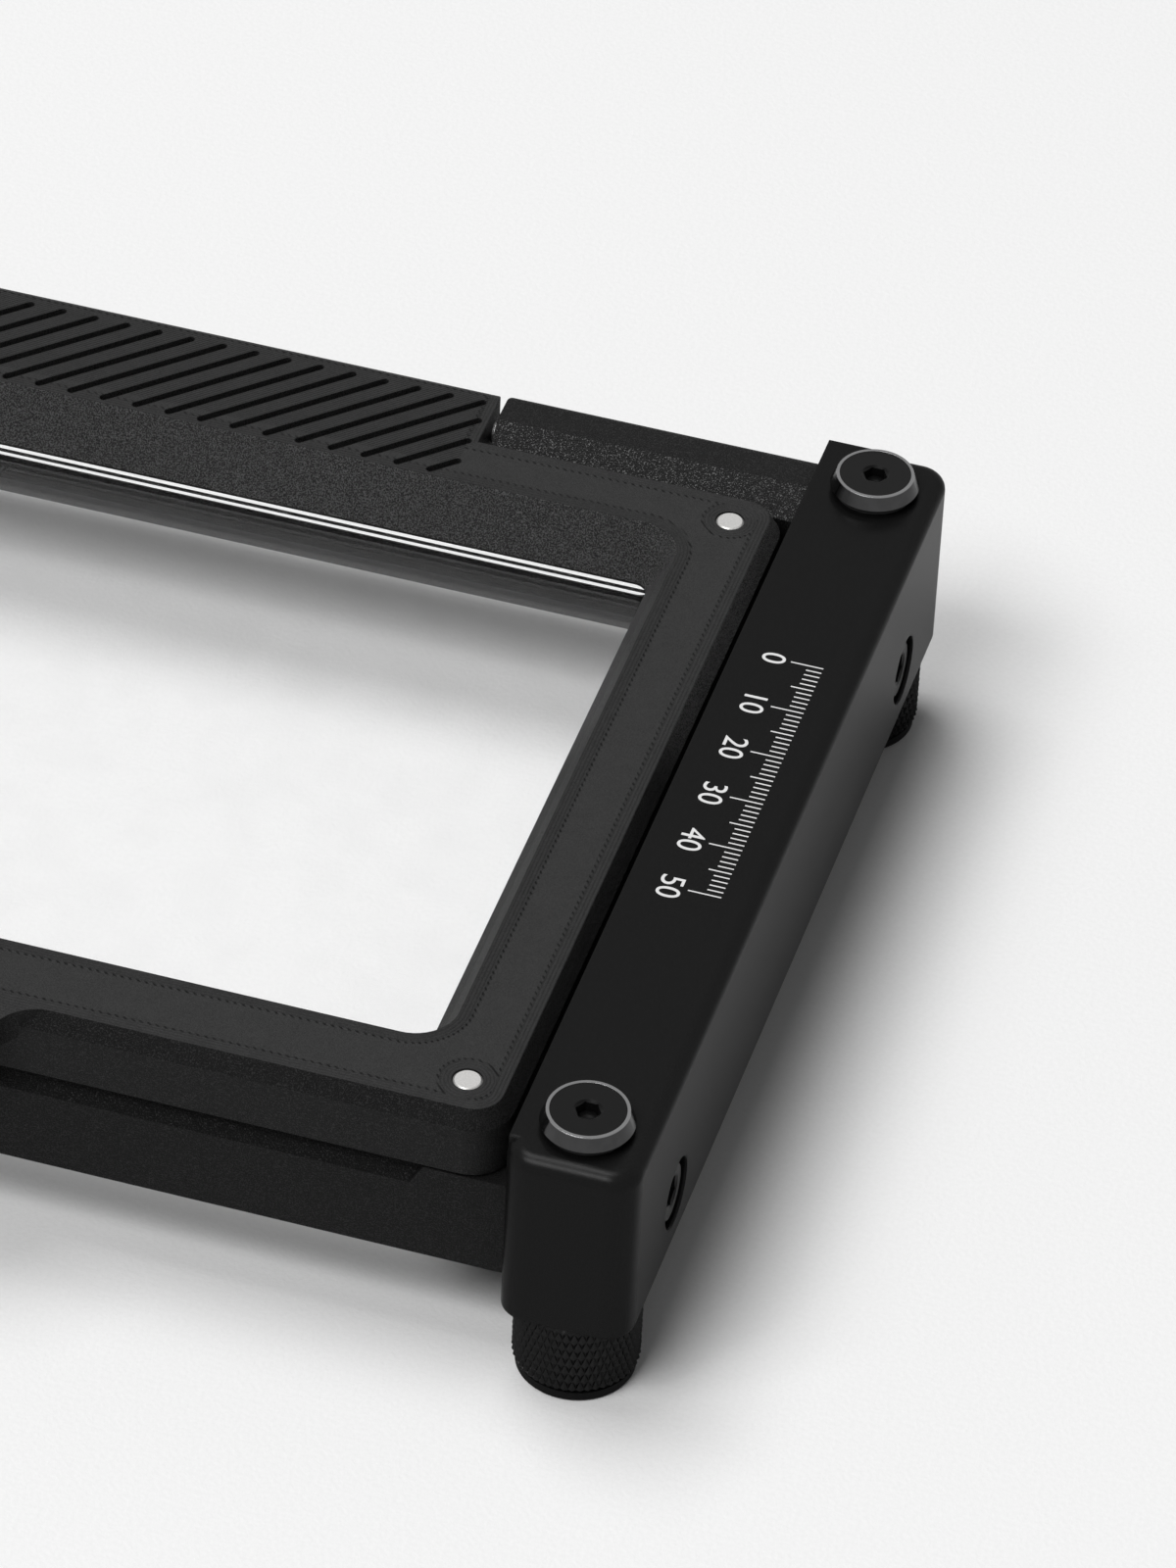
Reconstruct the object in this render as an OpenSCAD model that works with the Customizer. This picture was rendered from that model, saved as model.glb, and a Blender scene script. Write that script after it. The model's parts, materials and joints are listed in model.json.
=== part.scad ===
// Hinged glass film holder for copying sheet film.
// A printed base and a printed lid each carry a glass pane. Two metal end bars carry the base
// and stand on four knurled levelling feet.
// X runs along the hinge, Y runs from the finger tab to the hinge, Z is up from the table.

/* [Film opening] */
// Clear opening along the hinge
window_w = 136; // [120:1:150]
// Clear opening from front to hinge
window_d = 103.5; // [90:0.5:120]
// Corner radius of the clear opening
window_r = 2; // [1:0.5:4]

/* [Glass] */
// Thickness of each pane
glass_t = 2.5; // [2:0.1:2.9]
// How far a pane reaches under the lid's lip
pane_lap = 0.5; // [0.5:0.1:2]
// Space left for the film between the panes
film_gap = 0.2; // [0.1:0.05:0.4]
// Play around a pane in its seat
pane_play = 0.3; // [0.2:0.05:0.5]
// Small flat ground on every pane edge
pane_arris = 0.25; // [0.1:0.05:0.5]

/* [Lid] */
// Thickness of the lid
lid_t = 10.2; // [9.8:0.1:11]
// Depth of the lip below the lid's top
lip_depth = 7.65; // [7:0.05:8]
// Thickness of the lip that holds the upper pane
lip_t = 0.4; // [0.3:0.1:1]
// Border of the lid at each side, lip to outer face
side_border = 15.85; // [14:0.05:20]
// Border of the lid at the front, lip to outer face
front_border = 16.8; // [15.5:0.1:22]
// Border of the lid at the rear, lip to outer face
rear_border = 15; // [14:0.1:20]
// Run of the sloped window wall
slope_run = 4.1; // [3:0.1:5]
// Plan radius of the lid's outer corners
lid_corner_r = 5.5; // [3:0.5:7]
// Width of the bevel along the lid's top edge
lid_bevel_w = 1.5; // [0.8:0.1:2]
// Height of that bevel
lid_bevel_h = 2.5; // [1:0.1:3.5]

/* [Finger tab] */
// Half length of the tab at its tip
tab_half = 15.75; // [10:0.25:25]
// Radius of the hollow at each end of the tab
tab_hollow_r = 6.5; // [4:0.5:7]
// Radius of the tab's two corners
tab_tip_r = 1.5; // [0.5:0.1:2]
// Thickness of the tab
tab_t = 4.6; // [3:0.1:6]

/* [Base] */
// Thickness of the base
base_t = 15.4; // [14:0.1:18]
// Gap between the closed lid and the base
parting_gap = 0.4; // [0.3:0.05:0.6]
// How much smaller the base opening is than the lid's, each side
base_step = 0.1; // [0:0.05:1]
// Height of the upright wall under the lower pane
base_lip_h = 3.2; // [2:0.05:4]
// Run of the flared wall below it
flare_run = 8.5; // [4:0.5:10]
// Size of the stopped bevel on the front edge
relief_h = 3.2; // [2:0.1:4]
// Distance from each end bar to the end of that bevel
relief_stop = 12.35; // [8:0.05:24]
// Run of the sloped end of that bevel
relief_end = 1.8; // [0.6:0.1:3]

/* [Hinge] */
// Rod diameter
rod_d = 3; // [2.5:0.1:4]
// Height of the rod below the lid's top
rod_drop = 4; // [3.7:0.1:4.4]
// Distance from the rod to the rear face
rod_back = 4.3; // [3.9:0.1:4.6]
// Distance from the lid's rear face to the frame's rear face
hinge_reach = 10.8; // [10.4:0.1:12]
// Length of each of the base's two knuckles
knuckle_l = 46.2; // [30:0.1:60]
// End gap between knuckles
knuckle_gap = 1; // [0.6:0.1:1.5]
// Radius of the top rear edge of the base's knuckles
knuckle_edge = 1.5; // [0.8:0.1:2]
// Radius of the top rear edge of the lid's panel
panel_edge = 2; // [0.8:0.1:2.2]
// Plan radius of the upright rear corners at the knuckle gaps
knuckle_corner = 2; // [0.5:0.1:2.5]
// Run and rise of the slope in front of the base's knuckles
knuckle_slope = 3.8; // [3:0.1:4.5]
// Space between the lid's rear face and the base's knuckles
lid_back_gap = 0.6; // [0.5:0.05:0.9]

/* [Grooved hinge panel] */
// Width of a groove
groove_w = 1.2; // [0.5:0.05:1.5]
// Depth of a groove
groove_depth = 1; // [0.5:0.1:1.6]
// Pitch of the grooves along the hinge
groove_pitch = 4.85; // [3.5:0.05:7]
// Run of the first groove at the right
groove_first = 3; // [1.5:0.1:4.5]
// Plain margin at the ends of the panel
groove_end = 1.5; // [1.2:0.1:3]
// Plain margin at the rear edge
groove_rear = 3.5; // [2.5:0.1:5]
// Plain margin at the window slope
groove_front = 1.3; // [1:0.1:3]

/* [Magnets] */
// Magnet diameter
magnet_d = 4; // [3:0.5:5]
// How far a lid magnet ends above the lid's underside
magnet_recess = 0.2; // [0.1:0.1:1]
// Height of the base's disc magnets
base_magnet_h = 3; // [2:0.5:3.5]
// Distance of the magnets from the lid's side and front faces
magnet_inset = 6.85; // [6:0.05:7.5]
// Distance of the rear magnets from the lid's rear face
magnet_rear_inset = 6.6; // [6:0.05:7.5]

/* [End bars] */
// Width of a bar
bar_w = 18; // [18:0.5:24]
// Height of the bar's top above the lid's top
bar_rise = 2; // [1:0.1:4]
// How far a bar runs past the frame at the front
bar_front = 7.55; // [7:0.05:12]
// How far a bar runs past the frame at the rear
bar_rear = 2.35; // [1:0.05:6]
// Plan radius of the bar's corners
bar_corner_r = 4; // [2.5:0.5:6]
// Radius of the bar's top edges at the front and on the outer side
bar_edge_r = 2; // [1:0.1:2.4]
// Play between a bar and the lid
bar_play = 1.9; // [1:0.1:4]

/* [Feet] */
// Distance of each foot from the end of its bar
foot_inset = 8.85; // [8.6:0.05:12]
// Knob diameter
knob_d = 17; // [15:0.5:18]
// Knob height
knob_h = 11.5; // [10.5:0.1:14]
// Gap between a knob and its bar when fully screwed in
knob_gap = 0.4; // [0.3:0.1:1]
// Thickness of a foot pad
pad_t = 1.5; // [1:0.1:2.5]
// Pad diameter
pad_d = 16; // [12:0.5:17]

/* [Fasteners] */
// Thread diameter of all screws
screw_d = 5; // [4.5:0.5:5.5]
// Length of a foot screw, head included
foot_screw_l = 40; // [39:0.1:41]
// Diameter of a foot screw's flat head
flat_head_d = 10; // [9.5:0.1:10.4]
// Height of the silver collar under a flat head
collar_h = 2.15; // [2:0.05:2.6]
// Largest diameter of the collar
collar_d = 12.5; // [12:0.1:14]
// Thickness of the black washer under the collar
washer_h = 0.85; // [0.8:0.05:1.2]
// Diameter of that washer
washer_d = 11; // [10:0.1:11.8]
// How far a side screw reaches into the base
side_screw_reach = 5.5; // [4.5:0.1:6]
// Head diameter of a side screw
cap_head_d = 8.5; // [8:0.1:9]
// Head height of a side screw
cap_head_h = 5; // [4:0.1:5.1]
// Diameter of the pocket for a side screw's head
pocket_d = 10; // [9.2:0.1:11]
// Depth of that pocket
pocket_depth = 5.5; // [5.1:0.1:6.5]
// Distance of the side screws from the bar's ends
side_screw_inset = 21.6; // [20:0.1:30]
// Outer diameter of a threaded insert
insert_d = 7; // [6.6:0.1:7.5]
// Length of a threaded insert
insert_l = 6; // [5:0.1:6.5]

/* [Hidden] */
$fn = 48;

// One overrun serves all cuts
cut = 0.5;
// Radial play of a shaft that turns in a bore
running_play = 0.05;
// Radial play of a pin or thread that sits still
seat_play = 0.02;
// Radial play of a screw in its clearance hole
hole_play = 0.25;
// Height left between a knob and its pad
pad_gap = 0.1;

// Heights
knob_z = pad_t + pad_gap;
knob_top = knob_z + knob_h;
bar_bottom = knob_top + knob_gap;
base_top = bar_bottom + base_t;
lid_bottom = base_top + parting_gap;
lid_top = lid_bottom + lid_t;
bar_top = lid_top + bar_rise;
lip_z = lid_top - lip_depth;
upper_pane_z = lip_z - lip_t - glass_t;
lower_pane_z = upper_pane_z - film_gap - glass_t;
base_lip_bottom = lower_pane_z - base_lip_h;
rod_z = lid_top - rod_drop;

// Distances along the hinge
lid_half_w = window_w / 2 + side_border;
base_half_w = lid_half_w + bar_play;
bar_x = base_half_w + bar_w / 2;
panel_half = base_half_w - knuckle_l - knuckle_gap;

// Distances from front to rear
frame_d = front_border + window_d + rear_border + hinge_reach;
bar_l = bar_front + frame_d + bar_rear;
frame_front = bar_front - bar_l / 2;
frame_rear = frame_front + frame_d;
lid_rear = frame_rear - hinge_reach;
window_y = frame_front + front_border + window_d / 2;
rod_y = frame_rear - rod_back;
foot_y = bar_l / 2 - foot_inset;
side_screw_y = bar_l / 2 - side_screw_inset;
side_screw_z = bar_bottom + base_t / 2;

// Plan size of the lid body and the middle of it
lid_d = lid_rear - frame_front;
lid_y = (lid_rear + frame_front) / 2;

// Panes
pane_w = window_w + 2 * pane_lap;
pane_d = window_d + 2 * pane_lap;

// Knuckles: the lid's is round below the rod and just clears the base
knuckle_r = rod_z - lid_bottom;
knuckle_front = lid_rear + lid_back_gap;
crease_y = knuckle_front + knuckle_slope;

// The tab's hollows bite slightly past the lid's edge, so that they end in a clean corner
tab_bite = 0.05;
tab_edge_y = frame_front + lid_bevel_w;
tab_out = tab_hollow_r + tab_tip_r;

// Screws: heads, hexagon sockets and washers
hex_small = 3;
hex_large = 4;
hex_depth = 2;
hex_mouth = 0.25;
flat_head_rim = 0.3;
head_sink = 0.05;
collar_rim = 0.45;
collar_foot = 0.25;
washer_play = 0.15;
thread_tip = 0.6;
cap_head_edge = 0.4;
insert_groove = 0.35;
insert_tail = 1.5;

// Knob and pad
foot_tip_z = bar_top + washer_h + collar_h - head_sink - foot_screw_l;
bore_floor_z = foot_tip_z - 0.7;
knob_top_bevel = 0.5;
knob_foot_bevel = 0.7;
stem_d = 3;
barb_over = 0.4;
barb_h = 0.4;
barb_lift = 0.1;
pad_bevel = 0.3;

// Magnets
magnet_edge = 0.3;
magnet_floor = 0.1;

// The place of a foot, from the signs of X and Y
function foot_place(sx, sy) = [sx * bar_x, sy * foot_y, 0];

// Sweeps an edge profile round a core rectangle, corners turned.
// The profile is drawn to the right of the core's side, in width and height.
module swept_edge(core_w, core_d) {
  for (side = [0, 180]) {
    rotate([0, 0, side]) translate([core_w / 2, core_d / 2, 0])
      rotate([90, 0, 0]) linear_extrude(core_d) children();
    rotate([0, 0, side + 90]) translate([core_d / 2, core_w / 2, 0])
      rotate([90, 0, 0]) linear_extrude(core_w) children();
  }
  for (corner = [0 : 3]) {
    across = corner == 0 || corner == 3 ? 1 : -1;
    along = corner < 2 ? 1 : -1;
    translate([across * core_w / 2, along * core_d / 2, 0])
      rotate([0, 0, 90 * corner]) rotate_extrude(angle = 90) children();
  }
}

// A cylinder that points along +X
module x_cylinder(r, h) {
  rotate([0, 90, 0]) cylinder(r = r, h = h);
}

// Draws its children at the four magnets
module at_magnets() {
  for (side = [-1, 1]) {
    translate([side * (lid_half_w - magnet_inset), frame_front + magnet_inset, 0]) children();
    translate([side * (lid_half_w - magnet_inset), lid_rear - magnet_rear_inset, 0]) children();
  }
}

// The bevelled outer block of the lid
module lid_block() {
  r = lid_corner_r;
  core_w = 2 * lid_half_w - 2 * r;
  core_d = lid_d - 2 * r;
  translate([0, lid_y, lid_bottom]) {
    swept_edge(core_w, core_d)
      polygon([
        [0, 0], [r, 0], [r, lid_t - lid_bevel_h], [r - lid_bevel_w, lid_t], [0, lid_t]
      ]);
    translate([-core_w / 2, -core_d / 2, 0]) cube([core_w, core_d, lid_t]);
  }
}

// The cut for the lid's window: an upright lip, then a sloped wall
module lid_window_cut() {
  r = window_r;
  reach = r + slope_run * (1 + cut / lip_depth);
  core_w = window_w - 2 * r;
  core_d = window_d - 2 * r;
  low = lip_t + cut;
  translate([0, window_y, lip_z]) {
    swept_edge(core_w, core_d)
      polygon([[0, -low], [r, -low], [r, 0], [reach, lip_depth + cut], [0, lip_depth + cut]]);
    translate([-core_w / 2, -core_d / 2, -low]) cube([core_w, core_d, low + lip_depth + cut]);
  }
}

// Extrudes a Y and Z section along X between two places
module along_hinge(left, right) {
  translate([left, 0, 0]) rotate([90, 0, 90]) linear_extrude(right - left) children();
}

// Upper part of a knuckle behind the rod, with its rounded rear edge
module knuckle_top(edge_r) {
  translate([rod_y, rod_z]) square([rod_back, rod_drop - edge_r]);
  translate([rod_y, rod_z]) square([rod_back - edge_r, rod_drop]);
  translate([frame_rear - edge_r, lid_top - edge_r]) circle(edge_r);
}

// Section of the lid's panel in Y and Z, round below the rod
module lid_knuckle_section() {
  start = lid_rear - lid_corner_r;
  translate([start, lid_bottom]) square([rod_y - start, lid_t]);
  intersection() {
    translate([rod_y, rod_z]) circle(knuckle_r, $fn = 96);
    translate([rod_y, lid_bottom]) square([rod_back, knuckle_r]);
  }
  knuckle_top(panel_edge);
}

// Section of the base's knuckles in Y and Z
module base_knuckle_section() {
  polygon([
    [knuckle_front, base_top - cut], [knuckle_front, lid_top - knuckle_slope],
    [crease_y, lid_top], [rod_y, lid_top], [rod_y, base_top - cut]
  ]);
  translate([rod_y, base_top - cut]) square([rod_back, rod_z - base_top + cut]);
  knuckle_top(knuckle_edge);
}

// Rounds one upright rear corner at x, where side tells on which side the material lies
module rear_corner_cut(x, side) {
  r = knuckle_corner;
  left = side > 0 ? x - cut : x - r;
  translate([0, 0, base_top]) linear_extrude(lid_top - base_top + cut)
    difference() {
      translate([left, frame_rear - r]) square(r + cut);
      translate([x + side * r, frame_rear - r]) circle(r);
    }
}

// Diagonal grooves of the hinge panel, drawn flat
module groove_pattern() {
  near = window_y + window_d / 2 + slope_run + groove_front;
  far = frame_rear - groove_rear;
  limit = panel_half - groove_end;
  last = floor((2 * limit - groove_first + far - near) / groove_pitch);
  for (k = [0 : last]) {
    start = limit - groove_first - k * groove_pitch;
    x0 = max(start, -limit);
    x1 = min(start + far - near, limit);
    run = x1 - x0;
    y0 = near + x0 - start;
    if (run > groove_w) {
      translate([x0, y0]) rotate(45) translate([0, -groove_w / 2])
        square([run * sqrt(2), groove_w]);
      translate([x0, y0]) circle(groove_w / 2, $fn = 24);
      translate([x0 + run, y0 + run]) circle(groove_w / 2, $fn = 24);
    }
  }
}

// Plan outline of the finger tab, out from the top edge of the lid's front
module tab_outline() {
  root = tab_half + tab_hollow_r;
  hollow_y = tab_edge_y - tab_hollow_r + tab_bite;
  tip_y = tab_edge_y - tab_out;
  difference() {
    translate([-root, hollow_y]) square([2 * root, tab_edge_y + lid_bevel_w - hollow_y]);
    for (side = [-1, 1]) translate([side * root, hollow_y]) circle(tab_hollow_r, $fn = 96);
  }
  translate([-tab_half, tip_y + tab_tip_r]) square([2 * tab_half, tab_out - tab_tip_r]);
  translate([tab_tip_r - tab_half, tip_y]) square([2 * (tab_half - tab_tip_r), tab_out]);
  for (side = [-1, 1])
    translate([side * (tab_half - tab_tip_r), tip_y + tab_tip_r]) circle(tab_tip_r);
}

module lid_frame() color("#2b2b2c") {
  bore_r = rod_d / 2 + running_play;
  difference() {
    union() {
      lid_block();
      along_hinge(-panel_half, panel_half) lid_knuckle_section();
      translate([0, 0, lid_top - tab_t]) linear_extrude(tab_t) tab_outline();
    }
    lid_window_cut();
    translate([-pane_w / 2 - pane_play, window_y - pane_d / 2 - pane_play, lid_bottom - cut])
      cube([pane_w + 2 * pane_play, pane_d + 2 * pane_play, lip_z - lip_t - lid_bottom + cut]);
    translate([-panel_half - cut, rod_y, rod_z]) x_cylinder(bore_r, 2 * panel_half + 2 * cut);
    at_magnets() translate([0, 0, lid_bottom - cut])
      cylinder(d = magnet_d + 2 * seat_play, h = lid_t + 2 * cut);
    translate([0, 0, lid_top - groove_depth]) linear_extrude(groove_depth + cut) groove_pattern();
    rear_corner_cut(-panel_half, 1);
    rear_corner_cut(panel_half, -1);
  }
}

// The cut for the base's window: pane seat, upright wall, and a flare to the underside
module base_window_cut() {
  r = window_r;
  flare_h = base_lip_bottom - bar_bottom;
  low_reach = r + flare_run * (1 + cut / flare_h);
  core_w = window_w - 2 * base_step - 2 * r;
  core_d = window_d - 2 * base_step - 2 * r;
  translate([0, window_y, bar_bottom]) {
    swept_edge(core_w, core_d)
      polygon([
        [0, -cut], [low_reach, -cut], [r, flare_h], [r, base_t + cut], [0, base_t + cut]
      ]);
    translate([-core_w / 2, -core_d / 2, -cut]) cube([core_w, core_d, base_t + 2 * cut]);
  }
  translate([-pane_w / 2 - pane_play, window_y - pane_d / 2 - pane_play, lower_pane_z])
    cube([pane_w + 2 * pane_play, pane_d + 2 * pane_play, base_t]);
}

// Bevel along the base's front edge, stopped short of both bars with sloping ends
module relief_cut() {
  half = base_half_w - relief_stop;
  slant = relief_end * (1 + cut / relief_h);
  high = half + relief_end * cut / relief_h;
  intersection() {
    along_hinge(-high, high)
      polygon([
        [frame_front - cut, base_top - relief_h - cut],
        [frame_front + relief_h + cut, base_top + cut],
        [frame_front - cut, base_top + cut]
      ]);
    translate([0, frame_front + relief_h + 2 * cut, 0]) rotate([90, 0, 0])
      linear_extrude(relief_h + 4 * cut)
        polygon([
          [-high, base_top + cut], [high, base_top + cut],
          [half - slant, base_top - relief_h - cut], [slant - half, base_top - relief_h - cut]
        ]);
  }
}

module base_frame() color("#262627") {
  pin_r = rod_d / 2 + seat_play;
  insert_r = insert_d / 2 + seat_play;
  knuckle_x = panel_half + knuckle_gap;
  difference() {
    union() {
      translate([-base_half_w, frame_front, bar_bottom]) cube([2 * base_half_w, frame_d, base_t]);
      along_hinge(-base_half_w, -knuckle_x) base_knuckle_section();
      along_hinge(knuckle_x, base_half_w) base_knuckle_section();
    }
    base_window_cut();
    relief_cut();
    translate([-base_half_w - cut, rod_y, rod_z]) x_cylinder(pin_r, 2 * base_half_w + 2 * cut);
    at_magnets() translate([0, 0, base_top - base_magnet_h - magnet_floor])
      cylinder(d = magnet_d + 2 * seat_play, h = base_magnet_h + magnet_floor + cut);
    for (end = [0, 180], place = [-1, 1])
      rotate([0, 0, end]) translate([base_half_w, place * side_screw_y, side_screw_z]) {
        translate([-insert_l - seat_play, 0, 0]) x_cylinder(insert_r, insert_l + cut);
        translate([-insert_l - insert_tail, 0, 0])
          x_cylinder(screw_d / 2 + hole_play, insert_l);
      }
    rear_corner_cut(-knuckle_x, -1);
    rear_corner_cut(knuckle_x, 1);
  }
}

// A pane with a small flat ground on its edges
module pane(z) {
  side_l = pane_arris * sqrt(2);
  difference() {
    translate([-pane_w / 2, window_y - pane_d / 2, z]) cube([pane_w, pane_d, glass_t]);
    for (end = [0, 1], side = [-1, 1]) {
      translate([0, window_y + side * pane_d / 2, z + end * glass_t]) rotate([45, 0, 0])
        cube([pane_w + cut, side_l, side_l], center = true);
      translate([side * pane_w / 2, window_y, z + end * glass_t]) rotate([0, 45, 0])
        cube([side_l, pane_d + cut, side_l], center = true);
    }
  }
}

module lower_pane() color("#dfe8e6", 0.3) pane(lower_pane_z);

module upper_pane() color("#e4ecea", 0.3) pane(upper_pane_z);

module hinge_rod() color("#c9cbcd") {
  length = 2 * base_half_w - 2 * cut;
  translate([-length / 2, rod_y, rod_z]) x_cylinder(rod_d / 2, length);
}

// A magnet with a small bevel at both ends
module magnet(h) {
  r = magnet_d / 2;
  rotate_extrude()
    polygon([
      [0, 0], [r - magnet_edge, 0], [r, magnet_edge], [r, h - magnet_edge],
      [r - magnet_edge, h], [0, h]
    ]);
}

module lid_magnets() color("#cfd0d2")
  at_magnets() translate([0, 0, lid_bottom + magnet_recess]) magnet(lid_t - magnet_recess);

module base_magnets() color("#cfd0d2")
  at_magnets() translate([0, 0, base_top - base_magnet_h]) magnet(base_magnet_h);

// One end bar, centred on its own axis, its outer side at +X.
// The edge towards the frame stays square, from the turned front corner to the rear end.
// The sign rear tells which end of Y is the rear one.
module end_bar(rear) {
  r = bar_corner_r;
  h = bar_top - bar_bottom;
  core_w = bar_w - 2 * r;
  core_d = bar_l - 2 * r;
  difference() {
    translate([0, 0, bar_bottom]) {
      swept_edge(core_w, core_d) {
        square([r, h - bar_edge_r]);
        square([r - bar_edge_r, h]);
        translate([r - bar_edge_r, h - bar_edge_r]) intersection() {
          circle(bar_edge_r);
          square(bar_edge_r);
        }
      }
      translate([-core_w / 2, -core_d / 2, 0]) cube([core_w, core_d, h]);
      translate([-bar_w / 2, rear > 0 ? r - bar_l / 2 : -bar_l / 2, 0])
        cube([bar_w / 2, bar_l - r, h]);
    }
    for (place = [-1, 1]) {
      translate([0, place * foot_y, bar_bottom - cut])
        cylinder(d = screw_d + 2 * hole_play, h = h + 2 * cut);
      translate([-bar_w / 2 - cut, place * side_screw_y, side_screw_z])
        x_cylinder(screw_d / 2 + hole_play, bar_w + 2 * cut);
      translate([bar_w / 2 - pocket_depth, place * side_screw_y, side_screw_z])
        x_cylinder(pocket_d / 2, pocket_depth + cut);
    }
  }
}

module right_end_bar() color("#1b1b1c") translate([bar_x, 0, 0]) end_bar(1);

module left_end_bar() color("#1b1b1c")
  translate([-bar_x, 0, 0]) rotate([0, 0, 180]) end_bar(-1);

// A hexagon socket sunk from z = 0 downwards, with a turned mouth
module hex_socket(across_flats) {
  corner_r = across_flats / sqrt(3);
  translate([0, 0, -hex_depth]) cylinder(r = corner_r, h = hex_depth + cut, $fn = 6);
  translate([0, 0, -hex_mouth])
    cylinder(r1 = corner_r - hex_mouth / 2, r2 = corner_r + hex_mouth, h = hex_mouth + seat_play);
}

// A socket cap screw that points along -X, its head ending at x = 0
module cap_screw() {
  r = cap_head_d / 2;
  shaft_r = screw_d / 2;
  end = cap_head_h + bar_w - pocket_depth + side_screw_reach;
  difference() {
    rotate([0, -90, 0]) rotate_extrude()
      polygon([
        [0, 0], [r - cap_head_edge, 0], [r, cap_head_edge], [r, cap_head_h],
        [shaft_r, cap_head_h], [shaft_r, end - thread_tip], [shaft_r - thread_tip, end], [0, end]
      ]);
    rotate([0, 90, 0]) hex_socket(hex_large);
  }
}

module side_screws() {
  head_x = bar_x + bar_w / 2 - pocket_depth + cap_head_h;
  for (place = [-1, 1]) translate([head_x, place * side_screw_y, side_screw_z]) cap_screw();
}

module right_side_screws() color("#202021") side_screws();

module left_side_screws() color("#202021") rotate([0, 0, 180]) side_screws();

// A brass insert with two grooves, its mouth at x = 0 and its body towards -X
module threaded_insert() {
  r = insert_d / 2;
  bore_r = screw_d / 2 + seat_play;
  band = insert_l / 5;
  rotate([0, -90, 0]) rotate_extrude()
    polygon([
      [bore_r, 0], [r, 0], [r, band], [r - insert_groove, band], [r - insert_groove, 2 * band],
      [r, 2 * band], [r, 3 * band], [r - insert_groove, 3 * band],
      [r - insert_groove, 4 * band], [r, 4 * band], [r, insert_l], [bore_r, insert_l]
    ]);
}

module threaded_inserts() color("#b8923f")
  for (end = [0, 180], place = [-1, 1])
    rotate([0, 0, end]) translate([base_half_w, place * side_screw_y, side_screw_z])
      threaded_insert();

// The bevelled silver collar that carries a flat head
module collar() color("#b9babc") {
  rim_r = flat_head_d / 2 + collar_rim;
  foot_r = collar_d / 2;
  bottom = bar_top + washer_h;
  top = bottom + collar_h;
  seat_r = flat_head_d / 2 + seat_play;
  land = flat_head_rim + head_sink;
  rotate_extrude()
    polygon([
      [foot_r - collar_foot, bottom], [foot_r, bottom + collar_foot], [rim_r, top],
      [seat_r, top], [seat_r, top - land], [seat_r - collar_h + land, bottom]
    ]);
}

module washer() color("#141415") {
  bore_r = flat_head_d / 2 - collar_h + flat_head_rim + head_sink + washer_play;
  translate([0, 0, bar_top]) difference() {
    cylinder(d = washer_d, h = washer_h);
    translate([0, 0, -cut]) cylinder(r = bore_r, h = washer_h + 2 * cut);
  }
}

// A flat head screw that hangs through collar, washer and bar into the knob
module foot_screw() color("#1d1d1e") {
  head_r = flat_head_d / 2;
  shaft_r = screw_d / 2;
  head_top = foot_tip_z + foot_screw_l;
  land_z = head_top - flat_head_rim;
  difference() {
    rotate_extrude()
      polygon([
        [0, head_top], [head_r, head_top], [head_r, land_z], [shaft_r, land_z - head_r + shaft_r],
        [shaft_r, foot_tip_z + thread_tip], [shaft_r - thread_tip, foot_tip_z], [0, foot_tip_z]
      ]);
    translate([0, 0, head_top]) hex_socket(hex_small);
  }
}

// The knurled knob that climbs the foot screw
module knob() color("#171718") {
  r = knob_d / 2;
  difference() {
    rotate_extrude()
      polygon([
        [0, knob_z], [r - knob_foot_bevel, knob_z], [r, knob_z + knob_foot_bevel],
        [r, knob_top - knob_top_bevel], [r - knob_top_bevel, knob_top], [0, knob_top]
      ]);
    translate([0, 0, bore_floor_z])
      cylinder(r = screw_d / 2 + running_play, h = knob_top - bore_floor_z + cut);
    translate([0, 0, knob_z - cut])
      cylinder(r = stem_d / 2 + running_play, h = bore_floor_z - knob_z + 2 * cut);
  }
}

// The pad under a knob, held by a barbed stem
module pad() color("#101011") {
  r = pad_d / 2;
  stem_r = stem_d / 2;
  barb_z = bore_floor_z + barb_lift;
  rotate_extrude()
    polygon([
      [0, 0], [r - pad_bevel, 0], [r, pad_bevel], [r, pad_t], [stem_r, pad_t],
      [stem_r, barb_z], [stem_r + barb_over, barb_z], [stem_r, barb_z + barb_h],
      [0, barb_z + barb_h]
    ]);
}

module front_right_collar() translate(foot_place(1, -1)) collar();
module rear_right_collar() translate(foot_place(1, 1)) collar();
module front_left_collar() translate(foot_place(-1, -1)) collar();
module rear_left_collar() translate(foot_place(-1, 1)) collar();

module front_right_washer() translate(foot_place(1, -1)) washer();
module rear_right_washer() translate(foot_place(1, 1)) washer();
module front_left_washer() translate(foot_place(-1, -1)) washer();
module rear_left_washer() translate(foot_place(-1, 1)) washer();

module front_right_foot_screw() translate(foot_place(1, -1)) foot_screw();
module rear_right_foot_screw() translate(foot_place(1, 1)) foot_screw();
module front_left_foot_screw() translate(foot_place(-1, -1)) foot_screw();
module rear_left_foot_screw() translate(foot_place(-1, 1)) foot_screw();

module front_right_knob() translate(foot_place(1, -1)) knob();
module rear_right_knob() translate(foot_place(1, 1)) knob();
module front_left_knob() translate(foot_place(-1, -1)) knob();
module rear_left_knob() translate(foot_place(-1, 1)) knob();

module front_right_pad() translate(foot_place(1, -1)) pad();
module rear_right_pad() translate(foot_place(1, 1)) pad();
module front_left_pad() translate(foot_place(-1, -1)) pad();
module rear_left_pad() translate(foot_place(-1, 1)) pad();

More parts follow.
